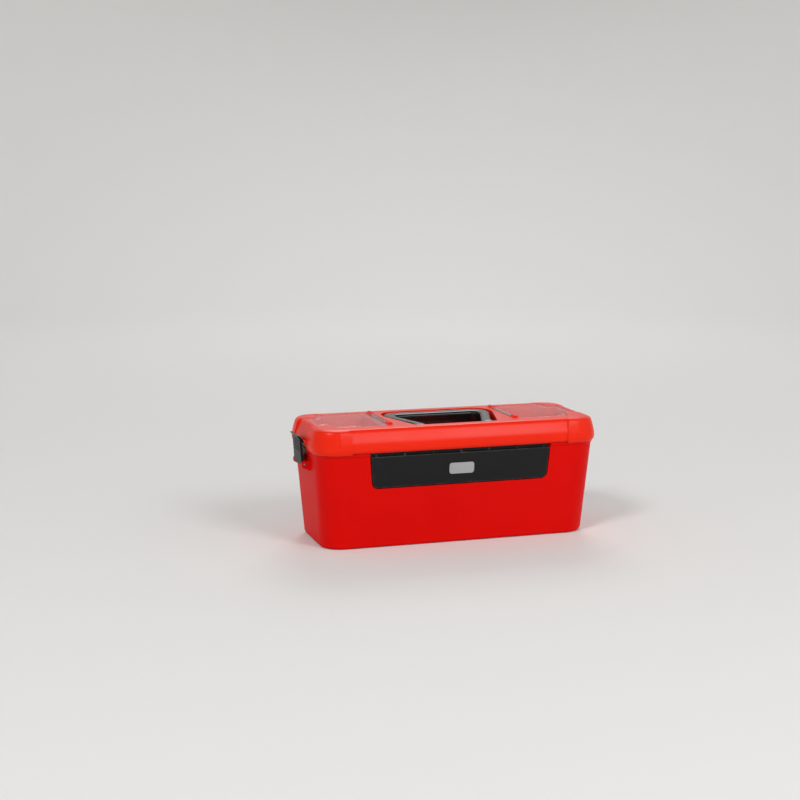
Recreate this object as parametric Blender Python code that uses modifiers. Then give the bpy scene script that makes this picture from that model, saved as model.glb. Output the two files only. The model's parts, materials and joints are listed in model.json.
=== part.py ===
"""Toy tool box: a red tub and lift-off lid, a lift-out tray, a black front panel,
a fold-down carrying handle, two clear organiser covers and two end latches.

Metres, +Z up. The origin is at the middle of the base, the front faces -Y and the
length runs along X.
"""

import math

import bmesh
import bpy
from mathutils import Matrix, Vector

# Overall size
BOX_LENGTH = 0.348
BOX_DEPTH = 0.141
SEAM_HEIGHT = 0.112
DECK_RISE = 0.027
WALL = 0.0025
DRAFT = math.radians(4.5)
CORNER_RADIUS = 0.0275
CORNER_STEPS = 6
FIT_GAP = 0.0003
OVERRUN = 0.004
WELD = 0.00001
FLAT_ANGLE = math.radians(0.2)
SHARP_ANGLE = math.radians(40)
BEVEL_ANGLE = math.radians(60)
STRAIGHT_HALF_ANGLE = math.radians(89)

# Bulged wall of the lid, as shares of its rise and of its bulge, seam to deck
LID_BULGE = 0.0095
LID_WALL_SHARES = (
    (0.0, 0.25), (0.09, 0.05), (0.22, 0.0), (0.36, 0.03), (0.5, 0.12),
    (0.68, 0.33), (0.84, 0.54), (0.94, 0.68), (0.985, 0.83), (1.0, 1.0),
)

# Proud corner blocks of the lid, with a steeper wall and a longer shoulder
BLOCK_PROUD = 0.0015
BLOCK_RISE = 0.0004
BLOCK_DROP = 0.0012
BLOCK_FRONT_REACH = 0.047
BLOCK_CORNER_REACH = 0.032
BLOCK_END_REACH = 0.027
BLOCK_MARGIN = 0.0004
BLOCK_BULGE = 0.0126
BLOCK_WALL_SHARES = (
    (0.0, 0.19), (0.11, 0.03), (0.26, 0.0), (0.4, 0.04), (0.55, 0.12),
    (0.7, 0.21), (0.85, 0.31), (0.93, 0.42), (0.98, 0.64), (1.0, 1.0),
)

# Upright groove where each block's flat front meets its rounded corner
GROOVE_REACH = 0.0275
GROOVE_WIDTH = 0.003
GROOVE_DEPTH = 0.0007
GROOVE_LOW_RISE = 0.011
GROOVE_HIGH_DROP = 0.0025

# Spigots under the lid's corners, which drop inside the tub
SPIGOT_DROP = 0.005
SPIGOT_THICK = 0.0022
SPIGOT_PLAY = 0.0008
SPIGOT_ARM = 0.045
SPIGOT_EASE = 0.0015
SPIGOT_STEPS = 5

# Organiser covers and the bins below them
COVER_INNER_X = 0.081
COVER_FRONT_BAND = 0.0305
COVER_BACK_BAND = 0.0189
COVER_STEP = 0.019
COVER_END_RIM = 0.0035
COVER_THICK = 0.0016
COVER_GAP = 0.0005
COVER_CORNER = 0.003
COVER_CROWN = 0.0012
COVER_BORDER = 0.006
COVER_CROWN_CORNER = 0.0015
BIN_LEDGE = 0.004
BIN_DEPTH = 0.019
BIN_WALL = 0.002
BIN_CORNER = 0.005

# Hinges of the covers
KNUCKLE_RADIUS = 0.0036
KNUCKLE_LENGTH = 0.009
KNUCKLE_INSET = 0.0045
BARREL_RADIUS = 0.0026
COVER_PIN_RADIUS = 0.0012
HINGE_SLOT_PLAY = 0.0007

# Handle and its recess
RECESS_FRONT_BAND = 0.022
RECESS_FRONT_HALF = 0.050
RECESS_WIDE_HALF = 0.0685
RECESS_WIDE_Y = 0.018
RECESS_BACK_HALF = 0.0675
RECESS_BACK_Y = 0.0485
RECESS_FRONT_CORNER = 0.007
RECESS_SIDE_ROUND = 0.03
RECESS_BACK_CORNER = 0.02
RECESS_DEPTH = 0.021
HANDLE_PLAY = 0.0024
HANDLE_THICK = 0.015
HANDLE_SINK = 0.0005
HANDLE_EAR_WIDTH = 0.0165
HANDLE_ARM_WIDTH = 0.014
HANDLE_GRIP_DEPTH = 0.0175
HANDLE_EAR_CORNER = 0.007
HANDLE_SHOULDER_REACH = 0.0105
HANDLE_SHOULDER_PLAY = 0.0056
HANDLE_INNER_CORNER = 0.007
HANDLE_EDGE = 0.004
HANDLE_EDGE_STEPS = 3
HANDLE_PIN_RADIUS = 0.0027
HANDLE_PIN_SEAT = 0.005
HANDLE_PIN_EAR_SHARE = 0.7
HANDLE_BOSS = 0.0085

# Tub
BEAD_PROUD = 0.0009
BEAD_HEIGHT = 0.0026
BEAD_SLOPE = 0.0009
BASE_ROUND = 0.004
BASE_ROUND_SHARES = ((0.0, 1.0), (0.3, 0.3), (1.0, 0.0))
RIB_THICK = 0.0025
RIB_END_Y = 0.028
RIB_SIDE_X = 0.07
TRAY_SEAT_DROP = 0.009
TRAY_SEAT_WIDTH = 0.004

# Front panel
PANEL_TOP_HALF = 0.1086
PANEL_TOP_DROP = 0.0044
PANEL_HEIGHT = 0.0365
PANEL_THICK = 0.003
PANEL_CORNER = 0.007
PANEL_TOP_CORNER = 0.0012
PANEL_MARGIN = 0.0012
PANEL_LEAN = math.radians(4.5)
PANEL_RIB_COUNT = 7
PANEL_RIB_MARGIN = 0.0066
PANEL_RIB_THICK = 0.0016
PANEL_RIB_DEPTH = 0.0019
PANEL_RIB_ABOVE = 0.0022
PANEL_RIB_BELOW = 0.01
PANEL_HEM_THICK = 0.0011
PANEL_HEM_DROP = 0.0005
BADGE_WIDTH = 0.03
BADGE_HEIGHT = 0.013
BADGE_THICK = 0.001
BADGE_CORNER = 0.003

# Lift-out tray
TRAY_DEPTH = 0.024
TRAY_WALL = 0.002
TRAY_FLANGE = 0.004
TRAY_FLANGE_THICK = 0.0018
TRAY_PLAY = 0.001
TRAY_CORNER = 0.024

# End latches
LATCH_WIDTH = 0.034
LATCH_THICK = 0.003
LATCH_HINGE_DROP = 0.017
LATCH_BARREL = 0.0034
LATCH_BORE_RADIUS = 0.0016
LATCH_REST = math.radians(4)
LATCH_LIP = 0.0016
LATCH_LIP_HEIGHT = 0.003
LATCH_TAB_RISE = 0.0035
LATCH_TAB_FLARE = 0.003
CATCH_RISE = 0.009
CATCH_HEIGHT = 0.003
CATCH_PROUD = 0.002
EAR_THICK = 0.004
EAR_ROOT = 0.0014
EAR_DROP_SHARE = 2.6

ROUND_SIDES = 24
PIN_SIDES = 16

# Sizes that follow from the ones above
HALF_LENGTH = BOX_LENGTH / 2
HALF_DEPTH = BOX_DEPTH / 2
DECK_HEIGHT = SEAM_HEIGHT + DECK_RISE
FACE_HALF_X = HALF_LENGTH - BLOCK_PROUD
FACE_HALF_Y = HALF_DEPTH - BLOCK_PROUD
LID_FOOT_INSET = LID_BULGE * LID_WALL_SHARES[0][1]
RIM_HALF_X = FACE_HALF_X - LID_FOOT_INSET
RIM_HALF_Y = FACE_HALF_Y - LID_FOOT_INSET
RIM_CORNER = CORNER_RADIUS - LID_FOOT_INSET
RIM_HEIGHT = SEAM_HEIGHT - FIT_GAP
DECK_HALF_X = FACE_HALF_X - LID_BULGE

COVER_CORNER_X = HALF_LENGTH - BLOCK_CORNER_REACH
COVER_STEP_X = HALF_LENGTH - BLOCK_END_REACH
COVER_END_X = DECK_HALF_X - COVER_END_RIM
COVER_FRONT_Y = COVER_FRONT_BAND - HALF_DEPTH
COVER_BACK_Y = HALF_DEPTH - COVER_BACK_BAND
HINGE_X = COVER_INNER_X - KNUCKLE_RADIUS
HINGE_Z = DECK_HEIGHT - COVER_THICK / 2
SLOT_RADIUS = BARREL_RADIUS + HINGE_SLOT_PLAY
KNUCKLE_FRONT_Y = COVER_FRONT_Y + KNUCKLE_INSET
KNUCKLE_BACK_Y = COVER_BACK_Y - KNUCKLE_INSET

RECESS_FRONT_Y = RECESS_FRONT_BAND - HALF_DEPTH
RECESS_FLOOR = DECK_HEIGHT - RECESS_DEPTH
HANDLE_FRONT_Y = RECESS_FRONT_Y + HANDLE_PLAY
PIVOT_Y = HANDLE_FRONT_Y + HANDLE_EAR_WIDTH / 2
PIVOT_Z = DECK_HEIGHT - HANDLE_SINK - HANDLE_THICK / 2

POCKET_DEPTH = PANEL_THICK + PANEL_RIB_DEPTH + FIT_GAP
POCKET_BACK_Y = POCKET_DEPTH + WALL - RIM_HALF_Y
PANEL_BOTTOM_HALF = PANEL_TOP_HALF - PANEL_HEIGHT * math.tan(PANEL_LEAN)

TRAY_SEAT_Z = RIM_HEIGHT - TRAY_SEAT_DROP
TRAY_HALF_X = RIM_HALF_X - WALL - TRAY_SEAT_DROP * math.tan(DRAFT) - TRAY_PLAY - FIT_GAP
TRAY_FRONT_Y = POCKET_BACK_Y + TRAY_PLAY
TRAY_BACK_Y = RIM_HALF_Y - WALL - TRAY_SEAT_DROP * math.tan(DRAFT) - TRAY_PLAY - FIT_GAP
TRAY_HALF_Y = (TRAY_BACK_Y - TRAY_FRONT_Y) / 2
TRAY_MIDDLE_Y = (TRAY_BACK_Y + TRAY_FRONT_Y) / 2

CATCH_Z = SEAM_HEIGHT + CATCH_RISE
CATCH_X = FACE_HALF_X + CATCH_PROUD
LATCH_INNER_X = CATCH_X + FIT_GAP
LATCH_HINGE_X = LATCH_INNER_X
LATCH_HINGE_Z = SEAM_HEIGHT - LATCH_HINGE_DROP

RED_LID = (0.83, 0.055, 0.02, 1.0)
RED_TUB = (0.68, 0.012, 0.008, 1.0)
BLACK = (0.02, 0.02, 0.021, 1.0)
CLEAR = (0.85, 0.80, 0.81, 0.35)
STEEL = (0.45, 0.45, 0.46, 1.0)
GREY = (0.35, 0.36, 0.37, 1.0)


def clear_scene():
    for item in list(bpy.data.objects):
        bpy.data.objects.remove(item, do_unlink=True)


def make_collection(name):
    group = bpy.data.collections.new(name)
    bpy.context.scene.collection.children.link(group)
    return group


clear_scene()
MODEL = make_collection("toy_tool_box")
CUTTERS = make_collection("cutters")


def make_material(name, colour, roughness, metallic=0.0):
    material = bpy.data.materials.new(name)
    material.use_nodes = True
    shader = material.node_tree.nodes["Principled BSDF"]
    shader.inputs["Base Color"].default_value = colour
    shader.inputs["Roughness"].default_value = roughness
    shader.inputs["Metallic"].default_value = metallic
    shader.inputs["Alpha"].default_value = colour[3]
    return material


# Shape helpers

def place_mesh(name, mesh, group):
    item = bpy.data.objects.new(name, mesh)
    group.objects.link(item)
    if group is CUTTERS:
        item.hide_render = True
        item.display_type = "WIRE"
    return item


def mesh_from(bm, name):
    bmesh.ops.recalc_face_normals(bm, faces=bm.faces)
    mesh = bpy.data.meshes.new(name)
    bm.to_mesh(mesh)
    bm.free()
    return mesh


def ring_outline(half_x, half_y, radius, middle_y=0.0):
    """Rounded rectangle, counter-clockwise seen from above."""
    points = []
    corners = ((1, 1, 0), (-1, 1, 1), (-1, -1, 2), (1, -1, 3))
    for side_x, side_y, quarter in corners:
        for step in range(CORNER_STEPS + 1):
            angle = math.pi / 2 * (quarter + step / CORNER_STEPS)
            x = side_x * (half_x - radius) + radius * math.cos(angle)
            y = middle_y + side_y * (half_y - radius) + radius * math.sin(angle)
            points.append((x, y))
    return points


def stack(name, levels, group):
    """Closed solid through outlines that have equally many points: (outline, z)."""
    bm = bmesh.new()
    loops = [[bm.verts.new((x, y, z)) for x, y in outline] for outline, z in levels]
    count = len(loops[0])
    for lower, upper in zip(loops, loops[1:]):
        for i in range(count):
            j = (i + 1) % count
            bm.faces.new((lower[i], lower[j], upper[j], upper[i]))
    bm.faces.new(list(reversed(loops[0])))
    bm.faces.new(loops[-1])
    return place_mesh(name, mesh_from(bm, name), group)


def loft(name, rings, group):
    """Closed solid through rounded rectangles: (half_x, half_y, radius, z, middle_y)."""
    return stack(name, [(ring_outline(half_x, half_y, radius, middle_y), z)
                        for half_x, half_y, radius, z, middle_y in rings], group)


def block(name, low, high, group):
    """Axis-aligned box between two corners."""
    low, high = Vector(low), Vector(high)
    bm = bmesh.new()
    bmesh.ops.create_cube(bm, size=1.0)
    bmesh.ops.scale(bm, vec=high - low, verts=bm.verts)
    item = place_mesh(name, mesh_from(bm, name), group)
    item.location = (low + high) / 2
    return item


def rod(name, radius, start, end, group, sides=ROUND_SIDES):
    """Round bar between two points."""
    start, end = Vector(start), Vector(end)
    bm = bmesh.new()
    bmesh.ops.create_cone(bm, cap_ends=True, segments=sides, radius1=radius,
                          radius2=radius, depth=(end - start).length)
    turn = (end - start).to_track_quat("Z", "Y").to_matrix()
    bmesh.ops.rotate(bm, cent=(0, 0, 0), matrix=turn, verts=bm.verts)
    item = place_mesh(name, mesh_from(bm, name), group)
    item.data.shade_smooth()
    item.data.set_sharp_from_angle(angle=SHARP_ANGLE)
    item.location = (start + end) / 2
    return item


def rounded(corners, steps=CORNER_STEPS):
    """Outline with a round of the given radius at each (x, y, radius) corner."""
    outline = []
    count = len(corners)
    for i, (x, y, radius) in enumerate(corners):
        here = Vector((x, y))
        back = (Vector(corners[i - 1][:2]) - here).normalized()
        ahead = (Vector(corners[(i + 1) % count][:2]) - here).normalized()
        half = back.angle(ahead) / 2
        if radius == 0 or half > STRAIGHT_HALF_ANGLE:
            outline.append((x, y))
            continue
        centre = here + (back + ahead).normalized() * (radius / math.sin(half))
        start = here + back * (radius / math.tan(half)) - centre
        end = here + ahead * (radius / math.tan(half)) - centre
        sweep = start.angle_signed(end)
        for step in range(steps + 1):
            spoke = start.copy()
            spoke.rotate(Matrix.Rotation(-sweep * step / steps, 2))
            outline.append(tuple(centre + spoke))
    return outline


def plate(name, outline, thickness, group):
    """Flat outline in local XY, extruded evenly about z = 0."""
    curve = bpy.data.curves.new(name, "CURVE")
    curve.dimensions = "2D"
    curve.fill_mode = "BOTH"
    curve.extrude = thickness / 2
    spline = curve.splines.new("POLY")
    spline.points.add(len(outline) - 1)
    for point, (x, y) in zip(spline.points, outline):
        point.co = (x, y, 0, 1)
    spline.use_cyclic_u = True
    source = place_mesh(name + "_outline", curve, group)
    bpy.context.view_layer.update()
    evaluated = source.evaluated_get(bpy.context.evaluated_depsgraph_get())
    flat = bpy.data.meshes.new_from_object(evaluated)
    bm = bmesh.new()
    bm.from_mesh(flat)
    bmesh.ops.remove_doubles(bm, verts=bm.verts, dist=WELD)
    bmesh.ops.dissolve_limit(bm, angle_limit=FLAT_ANGLE, verts=bm.verts, edges=bm.edges)
    bpy.data.objects.remove(source, do_unlink=True)
    return place_mesh(name, mesh_from(bm, name), group)


def prism(name, outline, low_z, high_z, group):
    """Plan outline standing between two heights."""
    item = plate(name, outline, high_z - low_z, group)
    item.location.z = (low_z + high_z) / 2
    return item


def combine(target, other, operation):
    step = target.modifiers.new(other.name, "BOOLEAN")
    step.operation = operation
    step.solver = "EXACT"
    step.object = other
    return target


def cut(target, *others):
    for other in others:
        combine(target, other, "DIFFERENCE")
    return target


def join(target, *others):
    for other in others:
        combine(target, other, "UNION")
    return target


def finish(item, material):
    item.data.materials.clear()
    item.data.materials.append(material)
    return item


def set_origin(item, point):
    """Moves the object's origin without moving its shape."""
    shift = Vector(point) - item.location
    item.data.transform(Matrix.Translation(-shift))
    item.location = point
    return item


def mirror_plan(outline, side):
    """Plan outline for the right end (side 1) or the left end (side -1)."""
    points = [(side * x, y) for x, y in outline]
    return points if side > 0 else points[::-1]


# Outlines shared by pieces that fit each other

def cover_outline(grow, corner):
    """Right-hand cover in plan; grow widens it on every side but the hinge side."""
    inner = COVER_INNER_X - grow
    corner_x = COVER_CORNER_X + grow
    step_x = COVER_STEP_X + grow
    end = COVER_END_X + grow
    front = COVER_FRONT_Y - grow
    back = COVER_BACK_Y + grow
    step_front = COVER_FRONT_Y + COVER_STEP - grow
    step_back = COVER_BACK_Y - COVER_STEP + grow
    return rounded((
        (inner, front, 0), (corner_x, front, corner), (step_x, step_front, corner / 2),
        (end, step_front, corner), (end, step_back, corner), (step_x, step_back, corner / 2),
        (corner_x, back, corner), (inner, back, 0),
    ))


def recess_outline(grow):
    """Handle recess in plan; a negative grow gives what lies inside it."""
    front_y = RECESS_FRONT_Y - grow
    front = RECESS_FRONT_HALF + grow
    wide = RECESS_WIDE_HALF + grow
    back = RECESS_BACK_HALF + grow
    back_y = RECESS_BACK_Y + grow
    return rounded((
        (front, front_y, RECESS_FRONT_CORNER + grow), (wide, RECESS_WIDE_Y, RECESS_SIDE_ROUND),
        (back, back_y, RECESS_BACK_CORNER + grow), (-back, back_y, RECESS_BACK_CORNER + grow),
        (-wide, RECESS_WIDE_Y, RECESS_SIDE_ROUND), (-front, front_y, RECESS_FRONT_CORNER + grow),
    ))


def recess_half_at(y):
    """Half width of the handle recess where its side is straight."""
    share = (y - RECESS_FRONT_Y) / (RECESS_WIDE_Y - RECESS_FRONT_Y)
    return RECESS_FRONT_HALF + share * (RECESS_WIDE_HALF - RECESS_FRONT_HALF)


def bulged_rings(half_x, half_y, corner, foot_z, top_z, inset, bulge, shares):
    rings = []
    for height_share, inset_share in shares:
        in_from_face = bulge * inset_share + inset
        rings.append((half_x - in_from_face, half_y - in_from_face, corner - in_from_face,
                      foot_z + (top_z - foot_z) * height_share, 0.0))
    return rings


def lid_rings(top_z, inset):
    return bulged_rings(FACE_HALF_X, FACE_HALF_Y, CORNER_RADIUS, SEAM_HEIGHT, top_z, inset,
                        LID_BULGE, LID_WALL_SHARES)


def block_rings(inset):
    return bulged_rings(HALF_LENGTH, HALF_DEPTH, CORNER_RADIUS + BLOCK_PROUD,
                        SEAM_HEIGHT - BLOCK_DROP, DECK_HEIGHT + BLOCK_RISE, inset,
                        BLOCK_BULGE, BLOCK_WALL_SHARES)


# Lid

def between_blocks(name, room, low_z, high_z):
    """What lies between the corner blocks in plan, held back from them by a room."""
    outer_x = HALF_LENGTH + OVERRUN * 2
    outer_y = HALF_DEPTH + OVERRUN * 2
    margin = COVER_GAP + BLOCK_MARGIN
    front = COVER_FRONT_Y - margin
    back = COVER_BACK_Y + margin
    corner_x = COVER_CORNER_X + margin
    step_x = COVER_STEP_X + margin
    step_front = COVER_FRONT_Y + COVER_STEP - margin + room
    step_back = COVER_BACK_Y - COVER_STEP + margin - room
    start_x = HALF_LENGTH - BLOCK_FRONT_REACH - room
    middle = rounded((
        (start_x, -outer_y, 0), (corner_x, front, 0), (step_x, step_front, 0),
        (outer_x, step_front, 0), (outer_x, step_back, 0), (step_x, step_back, 0),
        (corner_x, back, 0), (start_x, outer_y, 0), (-start_x, outer_y, 0),
        (-corner_x, back, 0), (-step_x, step_back, 0), (-outer_x, step_back, 0),
        (-outer_x, step_front, 0), (-step_x, step_front, 0), (-corner_x, front, 0),
        (-start_x, -outer_y, 0),
    ))
    return prism(name, middle, low_z, high_z, CUTTERS)


def corner_blocks():
    """The four proud corners, cut from one larger lid shape."""
    blocks = loft("corner_blocks", block_rings(0.0), CUTTERS)
    return cut(blocks, between_blocks("between_blocks", 0.0, SEAM_HEIGHT - BLOCK_DROP - OVERRUN,
                                      DECK_HEIGHT + BLOCK_RISE + OVERRUN))


def block_rests():
    """Room in the tub's rim for the corner blocks, which hang below the lid's wall."""
    low = SEAM_HEIGHT - BLOCK_DROP - FIT_GAP
    high = SEAM_HEIGHT + OVERRUN
    rests = loft("block_rests", [
        (HALF_LENGTH + OVERRUN, HALF_DEPTH + OVERRUN, CORNER_RADIUS, z, 0.0)
        for z in (low, high)
    ], CUTTERS)
    return cut(rests, between_blocks("between_rests", FIT_GAP, low - OVERRUN, high + OVERRUN))


def block_grooves():
    """Upright slots on the front and back of the corner blocks, one even depth."""
    core = loft("groove_core", block_rings(GROOVE_DEPTH), CUTTERS)
    for side in (1, -1):
        middle_x = side * (HALF_LENGTH - GROOVE_REACH)
        for facing in (1, -1):
            span = sorted((facing * (HALF_DEPTH - BLOCK_BULGE), facing * (HALF_DEPTH + OVERRUN)))
            slot = block("groove_%d_%d" % (side, facing),
                         (middle_x - GROOVE_WIDTH / 2, span[0], SEAM_HEIGHT + GROOVE_LOW_RISE),
                         (middle_x + GROOVE_WIDTH / 2, span[1], DECK_HEIGHT - GROOVE_HIGH_DROP),
                         CUTTERS)
            yield cut(slot, core)


def lid_cavity():
    """Hollow under the deck, less the walls of the bins and of the handle recess."""
    below = (RIM_HALF_X - WALL, RIM_HALF_Y - WALL, RIM_CORNER - WALL,
             SEAM_HEIGHT - BLOCK_DROP - OVERRUN, 0.0)
    cavity = loft("lid_cavity", [below] + lid_rings(DECK_HEIGHT - WALL, WALL), CUTTERS)
    floor_z = DECK_HEIGHT - BIN_DEPTH - BIN_WALL
    for side, word in ((1, "right"), (-1, "left")):
        walls = prism("bin_walls_" + word, mirror_plan(cover_outline(BIN_WALL - BIN_LEDGE,
                      BIN_CORNER), side), floor_z, DECK_HEIGHT + OVERRUN, CUTTERS)
        inner = sorted((side * (HINGE_X - SLOT_RADIUS - BIN_WALL),
                        side * (COVER_INNER_X + BIN_LEDGE)))
        carrier = block("hinge_carrier_" + word,
                        (inner[0], COVER_FRONT_Y - COVER_GAP, HINGE_Z - SLOT_RADIUS - BIN_WALL),
                        (inner[1], COVER_BACK_Y + COVER_GAP, DECK_HEIGHT + OVERRUN), CUTTERS)
        boss_x = sorted((side * (recess_half_at(PIVOT_Y) - FIT_GAP),
                         side * (recess_half_at(PIVOT_Y) + HANDLE_PIN_SEAT + WALL)))
        boss = block("pivot_boss_" + word,
                     (boss_x[0], PIVOT_Y - HANDLE_BOSS, RECESS_FLOOR - WALL),
                     (boss_x[1], PIVOT_Y + HANDLE_BOSS, DECK_HEIGHT + OVERRUN), CUTTERS)
        cut(cavity, walls, carrier, boss)
    around_recess = prism("recess_walls", recess_outline(WALL), RECESS_FLOOR - WALL,
                          DECK_HEIGHT + OVERRUN, CUTTERS)
    return cut(cavity, around_recess)


def spigot_outline(half_x, half_y, corner):
    """Rounded rectangle with an easier corner than the wall's, and its own facets."""
    radius = corner + SPIGOT_EASE
    return rounded(((half_x, -half_y, radius), (half_x, half_y, radius),
                    (-half_x, half_y, radius), (-half_x, -half_y, radius)), SPIGOT_STEPS)


def lid_spigots():
    """Corner lips that drop inside the tub's rim and stop the lid from sliding."""
    outer = WALL + SPIGOT_PLAY
    inner = outer + SPIGOT_THICK
    low = RIM_HEIGHT - SPIGOT_DROP
    in_the_wall = [(spigot_outline(half_x, half_y, corner), z)
                   for half_x, half_y, corner, z, _ in lid_rings(DECK_HEIGHT, WALL / 2)[1:3]]
    step_z = in_the_wall[0][1]
    high = in_the_wall[1][1]
    face = spigot_outline(RIM_HALF_X - outer, RIM_HALF_Y - outer, RIM_CORNER - outer)
    ring = stack("spigots", [(face, low), (face, step_z)] + in_the_wall, CUTTERS)
    back = spigot_outline(RIM_HALF_X - inner, RIM_HALF_Y - inner, RIM_CORNER - inner)
    hollow = stack("spigot_hollow", [(back, low - OVERRUN), (back, high + OVERRUN)], CUTTERS)
    across = block("between_spigots_x",
                   (SPIGOT_ARM - RIM_HALF_X, -HALF_DEPTH, low - OVERRUN),
                   (RIM_HALF_X - SPIGOT_ARM, HALF_DEPTH, high + OVERRUN), CUTTERS)
    along = block("between_spigots_y",
                  (-HALF_LENGTH, SPIGOT_ARM - RIM_HALF_Y, low - OVERRUN),
                  (HALF_LENGTH, RIM_HALF_Y - SPIGOT_ARM, high + OVERRUN), CUTTERS)
    return cut(ring, hollow, across, along)


def make_lid(material):
    lid = loft("lid_shell", lid_rings(DECK_HEIGHT, 0.0), MODEL)
    join(lid, corner_blocks())
    cut(lid, lid_cavity(), *block_grooves())
    join(lid, lid_spigots())
    seat_z = DECK_HEIGHT - COVER_THICK - FIT_GAP
    for side, word in ((1, "right"), (-1, "left")):
        seat = prism("cover_seat_" + word, mirror_plan(cover_outline(COVER_GAP, COVER_CORNER), side),
                     seat_z, DECK_HEIGHT + OVERRUN, CUTTERS)
        bin_hole = prism("bin_" + word, mirror_plan(cover_outline(-BIN_LEDGE, BIN_CORNER), side),
                         DECK_HEIGHT - BIN_DEPTH, DECK_HEIGHT + OVERRUN, CUTTERS)
        slot_x = sorted((side * (HINGE_X - SLOT_RADIUS), side * (COVER_INNER_X + COVER_GAP)))
        slot = block("hinge_slot_" + word,
                     (slot_x[0], KNUCKLE_FRONT_Y - COVER_GAP, HINGE_Z - SLOT_RADIUS),
                     (slot_x[1], KNUCKLE_BACK_Y + COVER_GAP, DECK_HEIGHT + OVERRUN), CUTTERS)
        cut(lid, seat, bin_hole, slot)
        for start, end, place in (
                (KNUCKLE_FRONT_Y - COVER_GAP - FIT_GAP, KNUCKLE_FRONT_Y + KNUCKLE_LENGTH, "front"),
                (KNUCKLE_BACK_Y - KNUCKLE_LENGTH, KNUCKLE_BACK_Y + COVER_GAP + FIT_GAP, "back")):
            knuckle = rod("knuckle_%s_%s" % (place, word), KNUCKLE_RADIUS,
                          (side * HINGE_X, start, HINGE_Z), (side * HINGE_X, end, HINGE_Z), CUTTERS)
            join(lid, knuckle)
        pin_hole = rod("cover_pin_hole_" + word, COVER_PIN_RADIUS + FIT_GAP,
                       (side * HINGE_X, KNUCKLE_FRONT_Y + FIT_GAP, HINGE_Z),
                       (side * HINGE_X, KNUCKLE_BACK_Y - FIT_GAP, HINGE_Z), CUTTERS, PIN_SIDES)
        wall_x = recess_half_at(PIVOT_Y)
        pivot_hole = rod("pivot_hole_" + word, HANDLE_PIN_RADIUS + FIT_GAP,
                         (side * (wall_x - OVERRUN), PIVOT_Y, PIVOT_Z),
                         (side * (wall_x + HANDLE_PIN_SEAT), PIVOT_Y, PIVOT_Z), CUTTERS, PIN_SIDES)
        cut(lid, pin_hole, pivot_hole)
        catch_x = sorted((side * (FACE_HALF_X - WALL), side * CATCH_X))
        catch = block("catch_" + word, (catch_x[0], -LATCH_WIDTH / 2, CATCH_Z - CATCH_HEIGHT),
                      (catch_x[1], LATCH_WIDTH / 2, CATCH_Z), CUTTERS)
        join(lid, catch)
    recess = prism("handle_recess", recess_outline(0.0), RECESS_FLOOR,
                   DECK_HEIGHT + OVERRUN, CUTTERS)
    cut(lid, recess)
    return finish(lid, material)


def make_cover(side, word, material):
    """Clear lid of one bin: a crowned plate with a hinge barrel along its inner edge."""
    edge = mirror_plan(cover_outline(0.0, COVER_CORNER), side)
    crown = mirror_plan(cover_outline(-COVER_BORDER, COVER_CROWN_CORNER), side)
    under = DECK_HEIGHT - COVER_THICK
    cover = stack("cover_" + word, [(crown, under + COVER_CROWN), (edge, under),
                                    (edge, DECK_HEIGHT), (crown, DECK_HEIGHT + COVER_CROWN)], MODEL)
    set_origin(cover, (side * HINGE_X, 0, HINGE_Z))
    start = KNUCKLE_FRONT_Y + KNUCKLE_LENGTH + COVER_GAP
    end = KNUCKLE_BACK_Y - KNUCKLE_LENGTH - COVER_GAP
    barrel = rod("barrel_" + word, BARREL_RADIUS, (side * HINGE_X, start, HINGE_Z),
                 (side * HINGE_X, end, HINGE_Z), CUTTERS, PIN_SIDES)
    web_x = sorted((side * HINGE_X, side * (COVER_INNER_X + COVER_BORDER / 2)))
    web = block("web_" + word, (web_x[0], start, DECK_HEIGHT - COVER_THICK + FIT_GAP),
                (web_x[1], end, DECK_HEIGHT - FIT_GAP), CUTTERS)
    bore = rod("barrel_bore_" + word, COVER_PIN_RADIUS + FIT_GAP,
               (side * HINGE_X, start - OVERRUN, HINGE_Z),
               (side * HINGE_X, end + OVERRUN, HINGE_Z), CUTTERS, PIN_SIDES)
    join(cover, web, barrel)
    cut(cover, bore)
    return finish(cover, material)


def make_cover_pin(side, word, material):
    pin = rod("cover_pin_" + word, COVER_PIN_RADIUS,
              (side * HINGE_X, KNUCKLE_FRONT_Y + FIT_GAP * 2, HINGE_Z),
              (side * HINGE_X, KNUCKLE_BACK_Y - FIT_GAP * 2, HINGE_Z), MODEL, PIN_SIDES)
    return finish(pin, material)


# Handle

def handle_outline():
    """Arch in plan as it lies folded: ears at the front, grip at the back."""
    front_y = HANDLE_FRONT_Y
    ear_out = recess_half_at(front_y) - HANDLE_PLAY
    ear_in = ear_out - HANDLE_EAR_WIDTH
    wide = RECESS_WIDE_HALF - HANDLE_PLAY
    back = RECESS_BACK_HALF - HANDLE_PLAY
    back_y = RECESS_BACK_Y - HANDLE_PLAY
    grip_y = back_y - HANDLE_GRIP_DEPTH
    arm_in = wide - HANDLE_ARM_WIDTH
    grip_in = back - HANDLE_ARM_WIDTH
    corner = RECESS_BACK_CORNER - HANDLE_PLAY
    shoulder_y = PIVOT_Y + HANDLE_SHOULDER_REACH
    shoulder = recess_half_at(shoulder_y) - HANDLE_SHOULDER_PLAY
    right = (
        (ear_in, front_y, HANDLE_EAR_CORNER), (ear_out, front_y, HANDLE_EAR_CORNER),
        (shoulder, shoulder_y, RECESS_SIDE_ROUND),
        (wide, RECESS_WIDE_Y, RECESS_SIDE_ROUND), (back, back_y, corner),
    )
    inside = ((arm_in, RECESS_WIDE_Y, RECESS_SIDE_ROUND / 2), (grip_in, grip_y, HANDLE_INNER_CORNER))
    left = [(-x, y, radius) for x, y, radius in reversed(right)]
    inside_left = [(-x, y, radius) for x, y, radius in inside]
    return rounded(list(right) + left + inside_left + list(reversed(inside)))


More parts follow.
